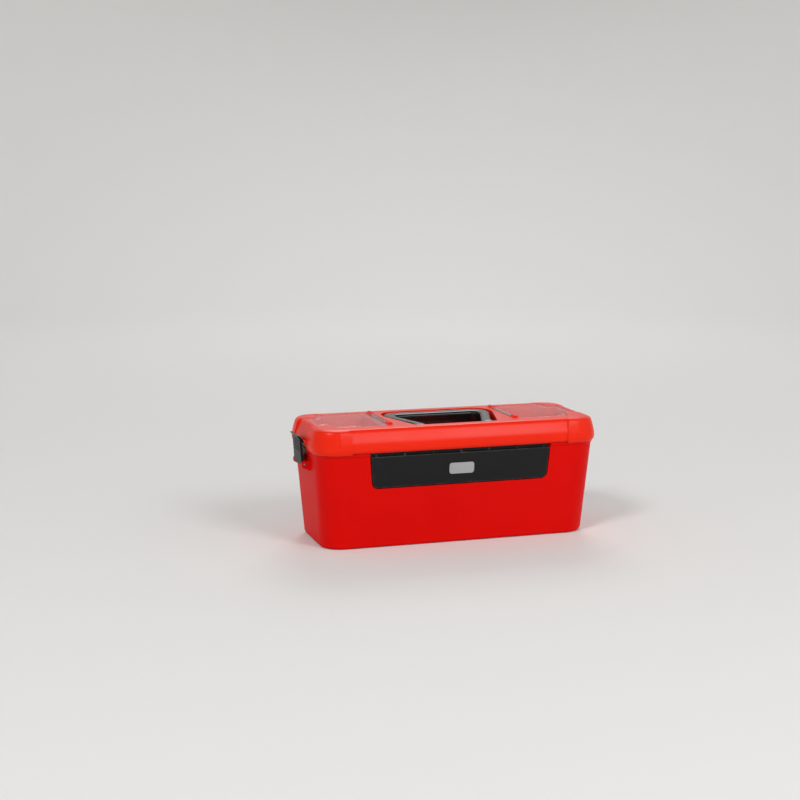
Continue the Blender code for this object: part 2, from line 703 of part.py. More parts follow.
def make_handle(material):
    handle = prism("handle", handle_outline(), PIVOT_Z - HANDLE_THICK / 2,
                   PIVOT_Z + HANDLE_THICK / 2, MODEL)
    set_origin(handle, (0, PIVOT_Y, PIVOT_Z))
    soften = handle.modifiers.new("soft_edges", "BEVEL")
    soften.width = HANDLE_EDGE
    soften.segments = HANDLE_EDGE_STEPS
    soften.limit_method = "ANGLE"
    soften.angle_limit = BEVEL_ANGLE
    for side, word in ((1, "right"), (-1, "left")):
        start, end = handle_pin_span()
        bore = rod("ear_bore_" + word, HANDLE_PIN_RADIUS + FIT_GAP,
                   (side * (start - FIT_GAP), PIVOT_Y, PIVOT_Z),
                   (side * (end + OVERRUN), PIVOT_Y, PIVOT_Z), CUTTERS, PIN_SIDES)
        cut(handle, bore)
    return finish(handle, material)


def handle_pin_span():
    """Inner and outer X of a pivot pin: from inside the ear to its seat in the lid."""
    wall = recess_half_at(PIVOT_Y)
    ear_out = wall - HANDLE_PLAY
    return ear_out - HANDLE_EAR_WIDTH * HANDLE_PIN_EAR_SHARE, wall + HANDLE_PIN_SEAT - FIT_GAP


def make_handle_pin(side, word, material):
    start, end = handle_pin_span()
    pin = rod("handle_pin_" + word, HANDLE_PIN_RADIUS, (side * start, PIVOT_Y, PIVOT_Z),
              (side * end, PIVOT_Y, PIVOT_Z), MODEL, PIN_SIDES)
    return finish(pin, material)


# Tub

def tub_ring(z, inset, middle_y=0.0):
    lean = (RIM_HEIGHT - z) * math.tan(DRAFT) + inset
    return (RIM_HALF_X - lean, RIM_HALF_Y - lean, RIM_CORNER - inset, z, middle_y)


def panel_frame(item):
    """Stands a plate on the leaning front wall, its top edge level with the rim."""
    item.rotation_euler.x = math.pi / 2 + DRAFT
    item.location = (0, -RIM_HALF_Y, RIM_HEIGHT)
    return item


def panel_outline(grow, top):
    """Front panel in its own plane; y runs up the wall and is zero at the rim."""
    bottom = -PANEL_TOP_DROP - PANEL_HEIGHT - grow
    lean = math.tan(PANEL_LEAN)
    top_half = PANEL_TOP_HALF + grow + (top + PANEL_TOP_DROP) * lean
    bottom_half = PANEL_BOTTOM_HALF + grow - grow * lean
    corner = PANEL_CORNER + grow
    return rounded((
        (-bottom_half, bottom, corner), (bottom_half, bottom, corner),
        (top_half, top, PANEL_TOP_CORNER), (-top_half, top, PANEL_TOP_CORNER),
    ))


def shift_local(item, offset):
    item.data.transform(Matrix.Translation(offset))
    return item


def tub_cavity():
    """Inside of the tub, less the wall behind the panel and the tray's ribs."""
    cavity = loft("tub_cavity", [tub_ring(z, WALL) for z in (WALL, RIM_HEIGHT + OVERRUN)], CUTTERS)
    behind = plate("pocket_wall", panel_outline(PANEL_MARGIN + WALL, OVERRUN * 2),
                   (POCKET_DEPTH + WALL) * 2, CUTTERS)
    panel_frame(behind)
    cut(cavity, behind)
    wall_x = RIM_HALF_X + OVERRUN
    wall_y = RIM_HALF_Y + OVERRUN
    reach_x = TRAY_HALF_X - TRAY_SEAT_WIDTH
    for side in (1, -1):
        for end_y in (RIB_END_Y, -RIB_END_Y):
            span = sorted((side * reach_x, side * wall_x))
            rib = block("end_rib_%d_%d" % (side, round(end_y / RIB_END_Y)),
                        (span[0], end_y - RIB_THICK / 2, -OVERRUN),
                        (span[1], end_y + RIB_THICK / 2, TRAY_SEAT_Z), CUTTERS)
            cut(cavity, rib)
        for back in (True, False):
            reach_y = TRAY_BACK_Y - TRAY_SEAT_WIDTH if back else TRAY_FRONT_Y + TRAY_SEAT_WIDTH
            span = sorted((reach_y, wall_y if back else -wall_y))
            x = side * RIB_SIDE_X
            rib = block("side_rib_%d_%d" % (side, back), (x - RIB_THICK / 2, span[0], -OVERRUN),
                        (x + RIB_THICK / 2, span[1], TRAY_SEAT_Z), CUTTERS)
            cut(cavity, rib)
    return cavity


def latch_ears(side, word):
    """Pair of ears on the end wall with the latch's pin through them."""
    root_x = RIM_HALF_X - LATCH_HINGE_DROP * math.tan(DRAFT) - EAR_ROOT
    radius = LATCH_BARREL
    top = LATCH_HINGE_Z + radius
    drop = LATCH_HINGE_Z - radius * EAR_DROP_SHARE
    outline = rounded(((root_x, drop, 0), (LATCH_HINGE_X + radius, LATCH_HINGE_Z - radius, radius),
                       (LATCH_HINGE_X + radius, top, radius), (root_x, top, 0)))
    for place in (1, -1):
        ear = plate("ear_%s_%d" % (word, place), mirror_plan(outline, side), EAR_THICK, CUTTERS)
        ear.rotation_euler.x = math.pi / 2
        ear.location.y = place * (LATCH_WIDTH / 2 + FIT_GAP + EAR_THICK / 2)
        yield ear


def make_tub(material):
    rings = []
    for height_share, inset_share in BASE_ROUND_SHARES:
        rings.append(tub_ring(BASE_ROUND * height_share, BASE_ROUND * inset_share))
    bead_foot = RIM_HEIGHT - BEAD_HEIGHT
    rings.append(tub_ring(bead_foot - BEAD_SLOPE, 0.0))
    rings.append(tub_ring(bead_foot, -BEAD_PROUD))
    rings.append(tub_ring(RIM_HEIGHT, -BEAD_PROUD))
    tub = loft("body_shell", rings, MODEL)
    pocket = plate("panel_pocket", panel_outline(PANEL_MARGIN, OVERRUN), POCKET_DEPTH * 2, CUTTERS)
    cut(tub, panel_frame(pocket), tub_cavity(), block_rests())
    for side, word in ((1, "right"), (-1, "left")):
        join(tub, *latch_ears(side, word))
        half = LATCH_WIDTH / 2 + FIT_GAP + EAR_THICK
        hole = rod("ear_hole_" + word, LATCH_BORE_RADIUS,
                   (side * LATCH_HINGE_X, -half - OVERRUN, LATCH_HINGE_Z),
                   (side * LATCH_HINGE_X, half + OVERRUN, LATCH_HINGE_Z), CUTTERS, PIN_SIDES)
        cut(tub, hole)
    return finish(tub, material)


# Front panel and badge

def make_front_panel(material):
    panel = plate("front_panel", panel_outline(0.0, -PANEL_TOP_DROP), PANEL_THICK, MODEL)
    shift_local(panel, (0, 0, -PANEL_THICK / 2))
    panel_frame(panel)
    first = PANEL_RIB_MARGIN - PANEL_TOP_HALF
    for number in range(PANEL_RIB_COUNT):
        x = first * (1 - 2 * number / (PANEL_RIB_COUNT - 1))
        rib = block("panel_rib_%d" % number,
                    (x - PANEL_RIB_THICK / 2, -PANEL_TOP_DROP - PANEL_RIB_BELOW,
                     -PANEL_THICK - PANEL_RIB_DEPTH),
                    (x + PANEL_RIB_THICK / 2, PANEL_RIB_ABOVE - PANEL_TOP_DROP,
                     -PANEL_THICK / 2), CUTTERS)
        rib.data.transform(Matrix.Translation(rib.location))
        join(panel, panel_frame(rib))
    back = PANEL_THICK + PANEL_RIB_DEPTH
    hem = block("panel_hem", (-PANEL_TOP_HALF, -PANEL_TOP_DROP - PANEL_RIB_BELOW, -back),
                (PANEL_TOP_HALF, -PANEL_HEM_DROP, PANEL_HEM_THICK - back), CUTTERS)
    hem.data.transform(Matrix.Translation(hem.location))
    join(panel, panel_frame(hem))
    return finish(panel, material)


def make_badge(material):
    half_x = BADGE_WIDTH / 2
    half_y = BADGE_HEIGHT / 2
    outline = rounded(((-half_x, -half_y, BADGE_CORNER), (half_x, -half_y, BADGE_CORNER),
                       (half_x, half_y, BADGE_CORNER), (-half_x, half_y, BADGE_CORNER)))
    badge = plate("badge_plate", outline, BADGE_THICK, MODEL)
    middle_y = -PANEL_TOP_DROP - PANEL_HEIGHT / 2
    shift_local(badge, (0, middle_y, FIT_GAP + BADGE_THICK / 2))
    panel_frame(badge)
    return finish(badge, material)


# Tray

def make_tray(material):
    top = TRAY_SEAT_Z + FIT_GAP + TRAY_FLANGE_THICK
    under = TRAY_SEAT_Z + FIT_GAP
    lean = TRAY_DEPTH * math.tan(DRAFT)
    wall_in = TRAY_FLANGE + FIT_GAP
    floor_in = wall_in + lean

    def ring(inset, z):
        return (TRAY_HALF_X - inset, TRAY_HALF_Y - inset, TRAY_CORNER - inset, z, TRAY_MIDDLE_Y)

    tray = loft("tool_tray", [ring(floor_in, top - TRAY_DEPTH), ring(wall_in, under),
                              ring(0.0, under), ring(0.0, top)], MODEL)
    hollow = loft("tray_hollow", [
        ring(floor_in + TRAY_WALL, top - TRAY_DEPTH + TRAY_WALL),
        ring(wall_in + TRAY_WALL, top + OVERRUN)], CUTTERS)
    cut(tray, hollow)
    return finish(tray, material)


# Latches

def make_latch(side, word, material):
    """Hinged hasp, modelled shut and then let back to where its lip clears the catch."""
    outer = LATCH_INNER_X + LATCH_THICK
    lip_z = CATCH_Z + FIT_GAP
    tip = LATCH_INNER_X - LATCH_LIP
    top = lip_z + LATCH_LIP_HEIGHT
    flare = outer + LATCH_TAB_FLARE
    profile = [
        (LATCH_INNER_X, LATCH_HINGE_Z), (outer, LATCH_HINGE_Z), (outer, top),
        (flare, top + LATCH_TAB_RISE), (flare - LATCH_THICK, top + LATCH_TAB_RISE),
        (LATCH_INNER_X, top), (tip, top - LATCH_LIP), (tip, lip_z), (LATCH_INNER_X, lip_z),
    ]
    latch = plate("latch_" + word, mirror_plan(profile, side), LATCH_WIDTH, MODEL)
    latch.data.transform(Matrix.Rotation(math.pi / 2, 4, "X"))
    hinge = (side * LATCH_HINGE_X, 0, LATCH_HINGE_Z)
    latch.data.transform(Matrix.Translation(-Vector(hinge)))
    latch.location = hinge
    latch.rotation_euler.y = side * LATCH_REST
    half = LATCH_WIDTH / 2
    barrel = rod("latch_barrel_" + word, LATCH_BARREL - FIT_GAP,
                 (side * LATCH_HINGE_X, -half, LATCH_HINGE_Z),
                 (side * LATCH_HINGE_X, half, LATCH_HINGE_Z), CUTTERS)
    bore = rod("latch_bore_" + word, LATCH_BORE_RADIUS,
               (side * LATCH_HINGE_X, -half - OVERRUN, LATCH_HINGE_Z),
               (side * LATCH_HINGE_X, half + OVERRUN, LATCH_HINGE_Z), CUTTERS, PIN_SIDES)
    join(latch, barrel)
    cut(latch, bore)
    return finish(latch, material)


def make_latch_pin(side, word, material):
    half = LATCH_WIDTH / 2 + FIT_GAP + EAR_THICK
    pin = rod("latch_pin_" + word, LATCH_BORE_RADIUS - FIT_GAP,
              (side * LATCH_HINGE_X, -half, LATCH_HINGE_Z),
              (side * LATCH_HINGE_X, half, LATCH_HINGE_Z), MODEL, PIN_SIDES)
    return finish(pin, material)


def build():
    lid_red = make_material("red_polypropylene_lid", RED_LID, 0.3)
    tub_red = make_material("red_polypropylene_tub", RED_TUB, 0.35)
    black = make_material("black_polypropylene", BLACK, 0.35)
    clear = make_material("clear_polystyrene", CLEAR, 0.08)
    steel = make_material("steel_wire", STEEL, 0.35, 1.0)
    grey = make_material("grey_badge", GREY, 0.4)
    make_tub(tub_red)
    make_front_panel(black)
    make_badge(grey)
    make_tray(black)
    make_lid(lid_red)
    make_handle(black)
    for side, word in ((1, "right"), (-1, "left")):
        make_handle_pin(side, word, steel)
        make_cover(side, word, clear)
        make_cover_pin(side, word, steel)
        make_latch(side, word, black)
        make_latch_pin(side, word, steel)


build()
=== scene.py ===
# %% [markdown]
# # Toy tool box
# A red moulded tub and lift-off lid, a black lift-out tray, a black front panel, a
# folding carrying handle, two clear organiser covers and two end latches. The packed
# part gives every solid its place; this lesson gives them their edges and finishes.

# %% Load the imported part
import json
import math

import bmesh
import bpy
from mathutils import Matrix, Vector


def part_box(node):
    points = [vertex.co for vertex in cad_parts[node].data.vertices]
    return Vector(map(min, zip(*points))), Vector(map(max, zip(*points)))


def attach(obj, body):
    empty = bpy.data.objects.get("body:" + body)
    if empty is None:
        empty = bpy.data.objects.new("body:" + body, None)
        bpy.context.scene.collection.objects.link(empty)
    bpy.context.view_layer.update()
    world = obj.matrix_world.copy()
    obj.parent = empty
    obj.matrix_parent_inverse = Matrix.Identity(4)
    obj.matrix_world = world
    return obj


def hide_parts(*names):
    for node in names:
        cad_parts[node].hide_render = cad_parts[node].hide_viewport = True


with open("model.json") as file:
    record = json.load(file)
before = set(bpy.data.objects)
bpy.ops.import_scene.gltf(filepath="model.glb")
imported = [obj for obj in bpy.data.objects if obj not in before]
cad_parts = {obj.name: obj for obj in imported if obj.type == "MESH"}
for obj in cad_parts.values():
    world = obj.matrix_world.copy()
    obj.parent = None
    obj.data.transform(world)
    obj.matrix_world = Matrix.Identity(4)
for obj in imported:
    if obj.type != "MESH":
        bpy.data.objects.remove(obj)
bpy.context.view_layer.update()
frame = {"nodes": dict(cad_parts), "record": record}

# %% [markdown]
# ## Units and colours
# Everything is in metres, so a size in millimetres goes through mm(). Colours are
# written as the hex values one would pick on a screen, and one function turns them
# into the linear numbers that the renderer works with.

# %% Units and colours


def mm(size):
    """Metres for a size in millimetres."""
    return size / 1000


def per_mm(size):
    """Scale of a pattern whose features are that many millimetres across."""
    return 1 / mm(size)


def colour(code):
    """Linear colour from an sRGB hex code."""
    parts = [int(code[i:i + 2], 16) / 255 for i in (1, 3, 5)]
    linear = [c / 12.92 if c <= 0.04045 else ((c + 0.055) / 1.055) ** 2.4 for c in parts]
    return (*linear, 1.0)


print("one millimetre is", mm(1), "m; mid grey is", round(colour("#808080")[0], 3))

# %% [markdown]
# ## Adding a node
# Each material and each Geometry Nodes tree is a chain of nodes. One small function
# adds a node, sets its options, and fills its inputs with a value or a link.

# %% Adding a node


def add_node(tree, kind, inputs=None, **options):
    """Adds a node; inputs maps a socket's name or number to a value or an output."""
    node = tree.nodes.new(kind)
    for name, value in options.items():
        setattr(node, name, value)
    for key, value in (inputs or {}).items():
        if isinstance(value, bpy.types.NodeSocket):
            tree.links.new(value, node.inputs[key])
        else:
            node.inputs[key].default_value = value
    return node


print("node helper ready")

# %% [markdown]
# ## Nodes that come back often
# The materials and the trees use a few nodes again and again: a noise with features of a
# known size, a value carried from one range to another, and sums on numbers and vectors.
# Each function adds its node and gives back the socket with the result.

# %% Nodes that come back often


def noise(tree, place, size, detail, roughness=0.5):
    """Noise whose features are that many millimetres across."""
    node = add_node(tree, "ShaderNodeTexNoise", {"Vector": place, "Scale": per_mm(size),
                                                 "Detail": detail, "Roughness": roughness})
    return node.outputs["Fac"]


def mapped(tree, value, old, new):
    """Carries a value from one range to another; a range is a pair of ends."""
    node = add_node(tree, "ShaderNodeMapRange", {"Value": value, "From Min": old[0],
                                                 "From Max": old[1], "To Min": new[0],
                                                 "To Max": new[1]})
    return node.outputs["Result"]


def maths(tree, operation, *values):
    """Result of a Math node on numbers or sockets."""
    node = add_node(tree, "ShaderNodeMath", dict(enumerate(values)), operation=operation)
    return node.outputs["Value"]


def vector_maths(tree, operation, first, second=None):
    """Result of a Vector Math node; SCALE takes its factor as the second value."""
    inputs = {0: first}
    if second is not None:
        inputs[3 if operation == "SCALE" else 1] = second
    return add_node(tree, "ShaderNodeVectorMath", inputs, operation=operation).outputs["Vector"]


print("short forms for four nodes ready")

# %% [markdown]
# ## Parts that the finishes share
# Hairline marks are a noise stretched along a slant and kept only where it peaks. A test
# for edges compares a rounded normal from the Bevel node with the true one, which is why
# this way needs no painted mask. Relief bends the normal by a depth in millimetres.

# %% Parts that the finishes share
BEVEL_SAMPLES = 4


def new_material(name):
    """New material, its node tree and its Principled shader."""
    material = bpy.data.materials.new(name)
    material.use_nodes = True
    return material, material.node_tree, material.node_tree.nodes["Principled BSDF"]


def hairlines(tree, place, turn, stretch, size, peak, strength):
    """Hairline marks; peak is the range of the noise over which a mark appears."""
    slanted = add_node(tree, "ShaderNodeMapping", {"Vector": place, "Rotation": turn,
                                                   "Scale": (1.0, stretch, stretch)})
    hair = noise(tree, slanted.outputs["Vector"], size, detail=2.0)
    return mapped(tree, hair, old=peak, new=(0.0, strength))


def flatness(tree, radius):
    """One on a flat face, less within that many millimetres of an edge."""
    soft = add_node(tree, "ShaderNodeBevel", {"Radius": mm(radius)}, samples=BEVEL_SAMPLES)
    true = add_node(tree, "ShaderNodeNewGeometry").outputs["Normal"]
    facing = add_node(tree, "ShaderNodeVectorMath", {0: soft.outputs["Normal"], 1: true},
                      operation="DOT_PRODUCT")
    return facing.outputs["Value"]


def add_relief(tree, shader, height, strength, depth):
    """Bends the shader's normal by a height pattern that many millimetres deep."""
    relief = add_node(tree, "ShaderNodeBump", {"Height": height, "Strength": strength,
                                               "Distance": mm(depth)})
    tree.links.new(relief.outputs["Normal"], shader.inputs["Normal"])


print("marks, edge test and relief ready")

# %% [markdown]
# ## Moulded plastic
# Every red and black piece here is injection moulded. Such a surface is never quite
# even: the mould leaves a fine grain, the gloss drifts slowly over the piece where the
# plastic cooled faster, play leaves hairline scuffs, and hands and floors polish the
# edges a little paler. That paler edge colour is partly a painted highlight too: where it
# is made strong, it stands in for the light that the edges catch.

# %% Moulded plastic


def moulded_plastic(name, base, polished_edge_and_highlight_colour, roughness, grain, grain_depth, drift, polished_edge_and_highlight_amount,
                    specular=0.3, ior=1.49, edge=0.9):
    """Injection-moulded plastic; grain, grain_depth and edge are in millimetres."""
    material, tree, shader = new_material(name)
    shader.inputs["IOR"].default_value = ior
    shader.inputs["Specular IOR Level"].default_value = specular
    place = add_node(tree, "ShaderNodeTexCoord").outputs["Object"]

    # slow drift of shade, as masterbatch never mixes quite evenly
    cloud = noise(tree, place, size=70, detail=1.0, roughness=0.4)
    shade = mapped(tree, cloud, old=(0.1, 0.9), new=(1 - drift, 1 + drift))
    tint = add_node(tree, "ShaderNodeHueSaturation", {"Value": shade, "Color": colour(base)})

    # pale polished edges and a painted edge highlight, broken up so that they don't read as a
    # drawn line
    bent = mapped(tree, flatness(tree, edge), old=(0.99, 0.86), new=(0.0, 1.0))
    patch = noise(tree, place, size=7, detail=4.0, roughness=0.65)
    broken = mapped(tree, patch, old=(0.42, 0.66), new=(0.15, 1.0))
    polished_edge_and_highlight_share = maths(tree, "MULTIPLY", maths(tree, "MULTIPLY", bent, broken), polished_edge_and_highlight_amount)
    body = add_node(tree, "ShaderNodeMix", {"Factor": polished_edge_and_highlight_share, "A": tint.outputs["Color"],
                                            "B": colour(polished_edge_and_highlight_colour)}, data_type="RGBA")
    tree.links.new(body.outputs["Result"], shader.inputs["Base Color"])

    # gloss that drifts, with hairline scuffs over it
    gloss = mapped(tree, cloud, old=(0.1, 0.9), new=(roughness - 0.05, roughness + 0.06))
    scuff = hairlines(tree, place, turn=(0.4, 0.7, 0.9), stretch=22.0, size=26,
                      peak=(0.66, 0.74), strength=0.14)
    tree.links.new(maths(tree, "ADD", gloss, scuff), shader.inputs["Roughness"])

    # the mould's spark-eroded grain
    spark = noise(tree, place, size=grain, detail=2.0)
    add_relief(tree, shader, spark, strength=0.5, depth=grain_depth)
    return material


print("moulded plastic ready")

# %% [markdown]
# ## Red polypropylene
# Polypropylene is the tough, slightly waxy plastic of toys and food boxes. The lid's
# mould is polished more than the tub's, so the lid shines a little and looks brighter,
# while the tub is a deeper, duller red. The grain is drawn near half a millimetre,
# several times the real one, so that it still shows at this distance.

# %% Red polypropylene
lid_red = moulded_plastic("red_polypropylene_polished_mould", "#EE2404", "#F8604A", 0.30,
                          specular=0.17, grain=0.7, grain_depth=0.008, drift=0.05, polished_edge_and_highlight_amount=0.6)
tub_red = moulded_plastic("red_polypropylene_grained_mould", "#D80500", "#E8402F", 0.44,
                          specular=0.08, grain=0.5, grain_depth=0.016, drift=0.06, polished_edge_and_highlight_amount=0.45)
print("made", lid_red.name, "and", tub_red.name)

# %% [markdown]
# ## Black polypropylene and the grey plate
# The panel, tray and latches come from a grained mould and look satin. The panel's edges
# and the small lugs on its top get a strong pale edge colour, a painted highlight that
# stands in for the thin line of light along them.
# The handle is what hands polish, so it is glossier and its edges catch the light. The
# plain plate on the panel is grey ABS, a harder plastic with a denser gloss.

# %% Black polypropylene and the grey plate
satin_black = moulded_plastic("black_polypropylene_grained_mould", "#111213", "#4C4D50", 0.4,
                              specular=0.22, grain=0.5, grain_depth=0.014, drift=0.10, polished_edge_and_highlight_amount=0.5)
gloss_black = moulded_plastic("black_polypropylene_polished_grip", "#0D0D0E", "#3C3D40", 0.24,
                              specular=0.45, grain=0.9, grain_depth=0.008, drift=0.10, polished_edge_and_highlight_amount=0.4)
# pale edges and lugs of the panel: a painted highlight
panel_black = moulded_plastic("black_polypropylene_rubbed_panel", "#101112", "#85868A", 0.38,
                              specular=0.24, grain=0.5, grain_depth=0.012, drift=0.10,
                              polished_edge_and_highlight_amount=0.8, edge=1.3)
plate_grey = moulded_plastic("grey_abs_plain_plate", "#A3A5A7", "#CACBCC", 0.42, ior=1.54,
                             grain=0.5, grain_depth=0.012, drift=0.03, polished_edge_and_highlight_amount=0.35)
print("made", satin_black.name, gloss_black.name, panel_black.name, "and", plate_grey.name)

# %% [markdown]
# ## Clear polystyrene
# The organiser covers are crystal polystyrene: hard, glossy and brittle, with an index
# of refraction near 1.59, so they mirror more of the room than glass does. Handling
# leaves a milky haze and hairline scratches, and at a low view the covers show more of
# that haze than of what lies below. A thin sheet hardly bends light, so the haze is
# painted as a pale plastic that is mostly see-through. Alpha does that and, unlike
# transmission, it lets lamplight through to the bins. Fresnel thickens the pale plastic
# where one looks along it, which is a painted reflection, and the Bevel node thickens it
# at the edges, which is a painted highlight where a clear sheet gathers light.

# %% Clear polystyrene
POLYSTYRENE_IOR = 1.59
# share of pale plastic added at a grazing view: a painted reflection
PAINTED_REFLECTION_AT_A_SLANT = 0.16

clear, tree, shader = new_material("clear_polystyrene_moulded")
shader.inputs["Base Color"].default_value = colour("#E8DCDC")
shader.inputs["IOR"].default_value = POLYSTYRENE_IOR
place = add_node(tree, "ShaderNodeTexCoord").outputs["Object"]
haze = noise(tree, place, size=30, detail=3.0)
scratch = hairlines(tree, place, turn=(0.0, 0.0, 0.5), stretch=30.0, size=30,
                    peak=(0.64, 0.72), strength=0.16)
cloudy = mapped(tree, haze, old=(0.3, 0.7), new=(0.04, 0.12))
tree.links.new(maths(tree, "ADD", cloudy, scratch), shader.inputs["Roughness"])

# pale plastic thickened at the edges: a painted highlight
painted_edge_highlight = mapped(tree, flatness(tree, radius=1.2), old=(0.995, 0.8), new=(0.0, 0.45))
milk = mapped(tree, haze, old=(0.2, 0.8), new=(0.05, 0.11))
marks_and_edge_highlight = maths(tree, "ADD", maths(tree, "ADD", milk, scratch), painted_edge_highlight)
# pale plastic thickened where one looks along the sheet: a painted reflection of the room
slant = add_node(tree, "ShaderNodeFresnel", {"IOR": POLYSTYRENE_IOR}).outputs["Fac"]
haze_and_painted_reflection = maths(tree, "MULTIPLY_ADD", slant, PAINTED_REFLECTION_AT_A_SLANT, marks_and_edge_highlight)
tree.links.new(haze_and_painted_reflection, shader.inputs["Alpha"])
ripple = noise(tree, place, size=14, detail=1.0)
add_relief(tree, shader, ripple, strength=0.35, depth=0.06)
print("made", clear.name)

# %% [markdown]
# ## Drawn steel wire
# The hinge pins are cut from drawn wire, so their fine marks run along the pin and the
# shine stretches round it.

# %% Drawn steel wire
steel, tree, shader = new_material("steel_drawn_wire")
shader.inputs["Metallic"].default_value = 1.0
place = add_node(tree, "ShaderNodeTexCoord").outputs["Object"]
lines = add_node(tree, "ShaderNodeMapping", {"Vector": place, "Scale": (0.05, 0.05, 1.0)})
drawn = noise(tree, lines.outputs["Vector"], size=0.3, detail=2.0)
for socket, ends in (("Base Color", (0.2, 0.36)), ("Roughness", (0.16, 0.28))):
    tree.links.new(mapped(tree, drawn, old=(0.0, 1.0), new=ends), shader.inputs[socket])
print("made", steel.name)

# %% [markdown]
# ## From imported solid to placed piece
# Each imported solid is copied, and its loose triangles are welded back into whole flat
# faces, so that only true edges are left to round. A finished mesh goes into the scene
# on its body, with its material, in place of the imported nodes that it stands for.

# %% From imported solid to placed piece
WELD_WITHIN = mm(0.004)
FLAT_WITHIN = math.radians(0.3)


def welded(node):
    """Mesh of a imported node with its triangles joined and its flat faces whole."""
    source = frame["nodes"][node].data.copy()
    bm = bmesh.new()
    bm.from_mesh(source)
    bmesh.ops.remove_doubles(bm, verts=bm.verts, dist=WELD_WITHIN)
    bmesh.ops.dissolve_limit(bm, angle_limit=FLAT_WITHIN, verts=bm.verts, edges=bm.edges)
    bm.to_mesh(source)
    bm.free()
    return source


def baked(item):
    """Turns an object's modifiers into a plain mesh and gives that mesh."""
    graph = bpy.context.evaluated_depsgraph_get()
    mesh = bpy.data.meshes.new_from_object(item.evaluated_get(graph))
    item.modifiers.clear()
    item.data = mesh
    return mesh


def place_piece(mesh, name, material, body, slot, *nodes):
    """Puts a finished mesh in the scene, on its body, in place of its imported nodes."""
    item = bpy.data.objects.new(name, mesh)
    bpy.context.scene.collection.objects.link(item)
    item.data.materials.clear()
    item.data.materials.append(material)
    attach(item, body)
    if nodes:
        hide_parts(*nodes)
    print(name, "has", len(item.data.polygons), "faces and rides on", body)


print("piece helpers ready")

# %% [markdown]
# ## Room for a rounded edge
# A mould can't make a knife edge, and a real edge shows as a thin highlight, so every
# sharp edge is to be rounded. On a face narrower than two bevels the rounds would fold
# over each other, so each edge has a weight that leaves it less than half of its
# narrower face.

# %% Room for a rounded edge
BEVEL_FROM = math.radians(28)
FACE_SHARE = 0.42


def room_beside(edge, face):
    """Least distance from an edge, straight across a face, to the face's other edges."""
    loop = next(loop for loop in face.loops if loop.edge == edge)
    start = loop.vert.co
    along = (loop.link_loop_next.vert.co - start).normalized()
    across = face.normal.cross(along)
    length = edge.calc_length()
    room = math.inf
    for other in face.edges:
        if set(other.verts) & set(edge.verts):
            continue
        ends = [((vert.co - start).dot(along), (vert.co - start).dot(across))
                for vert in other.verts]
        (near, rise), (far, top) = sorted(ends)
        if far <= 0 or near >= length:
            continue
        slope = (top - rise) / (far - near) if far > near else 0.0
        for spot in (max(near, 0.0), min(far, length)):
            height = rise + slope * (spot - near)
            if height > 0:
                room = min(room, height)
    return room


def weigh_edges(mesh, width):
    """Gives each sharp edge the share of the width that its narrower face has room for."""
    bm = bmesh.new()
    bm.from_mesh(mesh)
    weight = bm.edges.layers.float.new("bevel_weight_edge")
    for edge in bm.edges:
        if edge.calc_face_angle(0.0) > BEVEL_FROM:
            room = FACE_SHARE * min(room_beside(edge, face) for face in edge.link_faces)
            edge[weight] = min(1.0, room / width)
    bm.to_mesh(mesh)
    bm.free()


print("edges over", round(math.degrees(BEVEL_FROM)), "degrees will be rounded")

# %% [markdown]
# ## Slivers laid flat
# Where many small faces meet, a bevel can still leave a thin sliver folded back over its
# neighbour. The edge between the two is turned to join their other two corners, which
# lays both flat. A face with more than three corners is cut into triangles first.

# %% Slivers laid flat
FOLDED_FROM = math.radians(172)
UNFOLD_ROUNDS = 4


def folds(bm):
    """Edges over which a sliver lies folded flat on its neighbour, one for each sliver."""
    found = []
    for edge in bm.edges:
        if edge.calc_face_angle(0.0) > FOLDED_FROM:
            sliver = min(edge.link_faces, key=lambda face: face.calc_area())
            if edge == max(sliver.edges, key=lambda side: side.calc_length()):
                found.append(edge)
    return found


def unfold(mesh):
    """Turns the long edge of each folded sliver, where no edge joins the other corners."""
    bm = bmesh.new()
    bm.from_mesh(mesh)
    for _ in range(UNFOLD_ROUNDS):
        wide = [face for edge in folds(bm) for face in edge.link_faces if len(face.verts) > 3]
        bmesh.ops.triangulate(bm, faces=list(dict.fromkeys(wide)))
        bm.normal_update()
        for edge in folds(bm):
            corners = [vert for face in edge.link_faces for vert in face.verts
                       if vert not in edge.verts]
            still_folded = edge.calc_face_angle(0.0) > FOLDED_FROM
            if still_folded and len(corners) == 2 and not bm.edges.get(corners):
                turned = bmesh.utils.edge_rotate(edge)
                for face in turned.link_faces:
                    face.normal_update()
    bm.to_mesh(mesh)
    bm.free()


print("slivers folded past", round(math.degrees(FOLDED_FROM)), "degrees will be laid flat")

# %% [markdown]
# ## Softened edges
# A Bevel modifier rounds the edges by their weights. Wide faces are cut into triangles
# before it, so that it meets only simple ones, and again after it, because it makes new
# ones. Weighted normals then keep the big faces flat in shading, which plain smoothing
# would not.

# %% Softened edges
BEVEL_STEPS = 2
SPLIT_FROM_CORNERS = 5
NORMAL_WEIGHT = 80


def split_wide_faces(item):
    """Cuts faces with many corners into triangles."""
    split = item.modifiers.new("split", "TRIANGULATE")
    split.min_vertices = SPLIT_FROM_CORNERS


def weigh_normals(item, keep_sharp):
    """Lets the big faces set the direction of the shading around them."""
    weigh = item.modifiers.new("weigh", "WEIGHTED_NORMAL")
    weigh.keep_sharp = keep_sharp
    weigh.mode = "FACE_AREA_WITH_ANGLE"
    weigh.weight = NORMAL_WEIGHT


